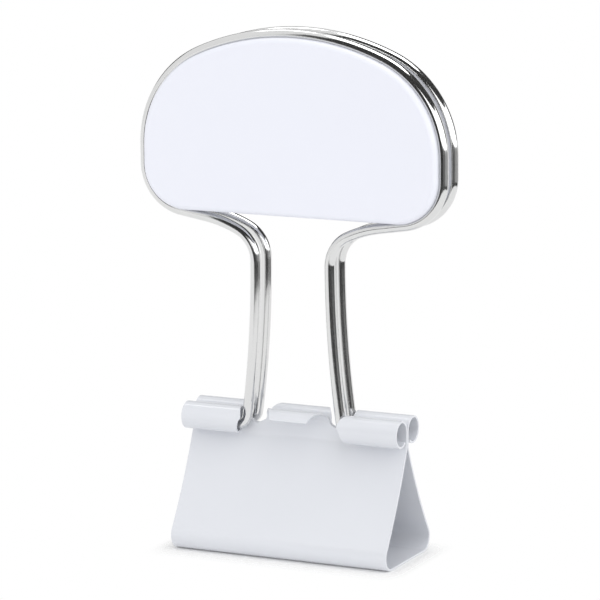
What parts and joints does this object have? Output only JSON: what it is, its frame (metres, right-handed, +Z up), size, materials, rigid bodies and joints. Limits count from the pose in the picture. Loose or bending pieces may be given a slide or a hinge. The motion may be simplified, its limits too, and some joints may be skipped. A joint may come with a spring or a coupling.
{
  "type": "foldback clip",
  "caption": "Foldback clip: triangular spring-steel body with rolled, notched edges and folding wire handles, the front one filled by a plain half-round sign plate.",
  "frame": {"origin": "middle of the base, on the surface the clip stands on", "axes": "+Z up along the upright handles, +X along the jaw, -Y to the front, where the plate faces"},
  "size_m": [0.072, 0.0232, 0.1133],
  "materials": {
    "white_paint": "smooth satin white paint on spring steel",
    "plated_wire": "bright nickel plate on drawn steel wire",
    "white_plastic": "smooth moulded white plastic"
  },
  "bodies": {
    "body": {"clip_body": "white_paint"},
    "front_handle": {"front_handle": "plated_wire", "front_plate": "white_plastic"},
    "rear_handle": {"rear_handle": "plated_wire"}
  },
  "joints": [
    {"name": "front_handle_fold", "type": "hinge", "parent": "body", "child": "front_handle", "pos_m": [0, -0.00263, 0.02734], "axis": [1, 0, 0], "range_deg": [0, 155]},
    {"name": "rear_handle_fold", "type": "hinge", "parent": "body", "child": "rear_handle", "pos_m": [0, 0.00263, 0.02734], "axis": [-1, 0, 0], "range_deg": [0, 155]}
  ]
}
